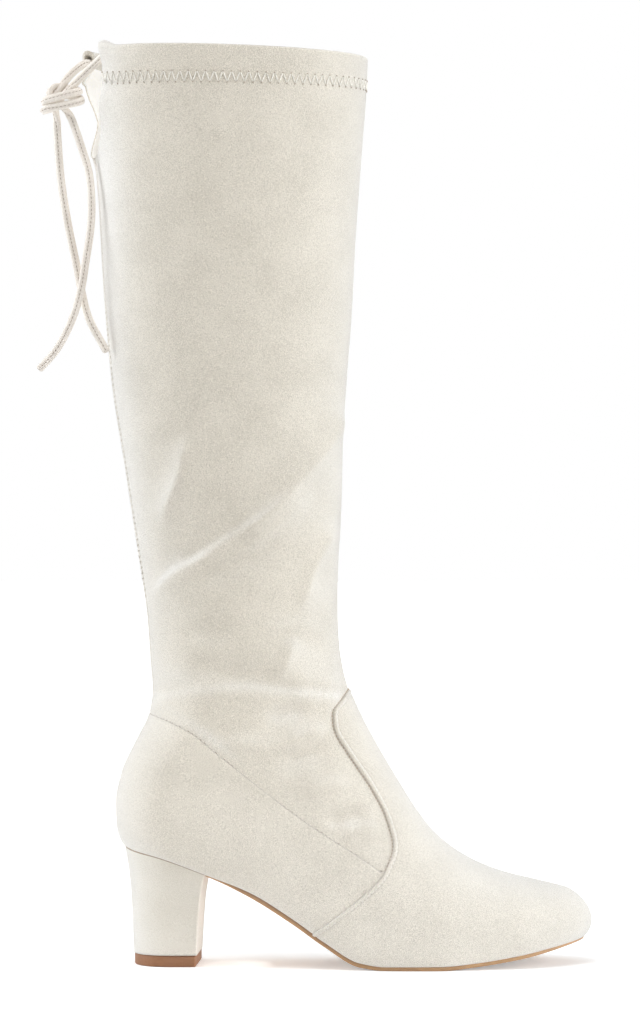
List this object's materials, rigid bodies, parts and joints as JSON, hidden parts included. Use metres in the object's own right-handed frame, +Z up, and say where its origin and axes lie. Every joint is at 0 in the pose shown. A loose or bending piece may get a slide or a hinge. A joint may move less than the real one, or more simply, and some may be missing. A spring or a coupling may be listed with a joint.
{
  "type": "slouch boot",
  "caption": "Pull-on knee boot for the right foot: round toe, thin sole, covered block heel, lapped vamp and counter panels, and a drawcord knotted at a notch in the collar's back.",
  "frame": {"origin": "on the floor, under the middle of the boot's box without its cord", "axes": "+X from heel to toe, +Y to the medial side, +Z up the shaft"},
  "size_m": [0.2882, 0.0967, 0.4773],
  "materials": {
    "suede": "napped faux suede",
    "outsole": "smooth matt",
    "top_lift": "smooth, slight sheen",
    "insole": "matt lining",
    "cord": "folded and stitched faux suede"
  },
  "bodies": {
    "root": {"outsole": "outsole", "insole": "insole", "heel_block": "suede", "heel_top_lift": "top_lift", "upper": "suede", "vamp_panel": "suede", "counter_panel": "suede", "drawcord_lateral_strand": "cord", "drawcord_medial_strand": "cord", "drawcord_knot": "cord", "drawcord_back_end": "cord", "drawcord_front_end": "cord"}
  },
  "joints": []
}
